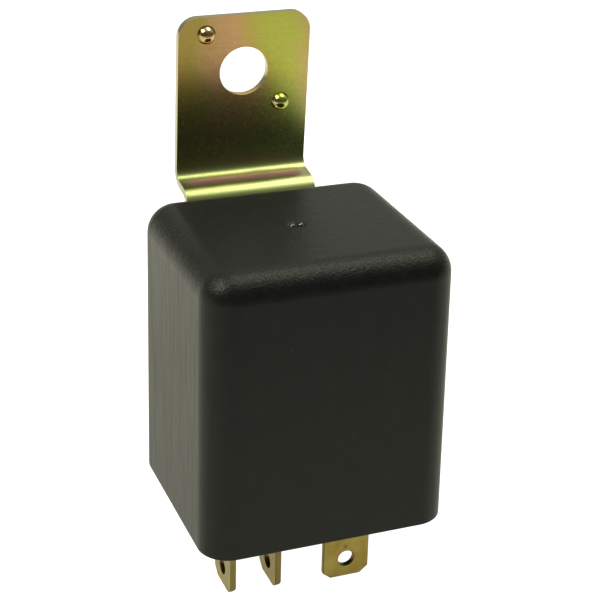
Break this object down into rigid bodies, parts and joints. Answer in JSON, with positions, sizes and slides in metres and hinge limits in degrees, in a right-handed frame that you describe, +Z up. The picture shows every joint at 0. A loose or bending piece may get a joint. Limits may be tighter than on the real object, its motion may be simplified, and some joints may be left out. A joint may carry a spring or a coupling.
{
  "type": "automotive relay",
  "caption": "Plug-in changeover relay for vehicles: black moulded cover, cranked fixing bracket with a hole, flat blade terminals below, and a pivoting armature inside.",
  "frame": {"origin": "centre of the underside of the base plate, level with the cover's rim, so the blades reach below it", "axes": "+Z up from the blades to the bracket's hole, -Y towards the front face away from the bracket, +X to the right when seen from the front"},
  "size_m": [0.033, 0.035, 0.0687],
  "materials": {
    "moulded_black": "satin moulded black plastic",
    "base_moulding": "plain moulded black plastic",
    "passivated_zinc": "zinc plate, yellow passivated",
    "blade_brass": "satin rolled brass",
    "soft_iron": "plated soft iron",
    "rivet_steel": "zinc-plated steel",
    "spring_steel": "bright spring strip and wire",
    "bobbin_plastic": "moulded dark plastic",
    "enamelled_copper": "enamelled copper wire",
    "braid_copper": "bare copper braid",
    "contact_silver": "silver contact alloy"
  },
  "bodies": {
    "housing": {"cover": "moulded_black", "base_plate": "base_moulding", "mounting_bracket": "passivated_zinc", "bracket_rivet_left": "rivet_steel", "bracket_rivet_right": "rivet_steel", "terminal_87a": "blade_brass", "terminal_87": "blade_brass", "terminal_30": "blade_brass", "terminal_86": "blade_brass", "terminal_85": "blade_brass", "yoke": "soft_iron", "core": "soft_iron", "bobbin": "bobbin_plastic", "coil_winding": "enamelled_copper", "coil_lead_86": "enamelled_copper", "coil_lead_85": "enamelled_copper", "contact_open": "contact_silver", "contact_closed": "contact_silver", "return_spring": "spring_steel", "braided_lead": "braid_copper"},
    "armature": {"armature_plate": "soft_iron", "contact_spring": "spring_steel", "spring_rivet_front": "rivet_steel", "spring_rivet_back": "rivet_steel", "moving_contact": "contact_silver"}
  },
  "joints": [
    {"name": "armature_pivot", "type": "hinge", "parent": "housing", "child": "armature", "pos_m": [0, 0.0096, 0.0292], "axis": [1, 0, 0], "range_deg": [0, 3.2], "stiffness_Nm_per_rad": 0.03, "springref_deg": -5.73, "deforming": ["return_spring", "braided_lead"]}
  ]
}
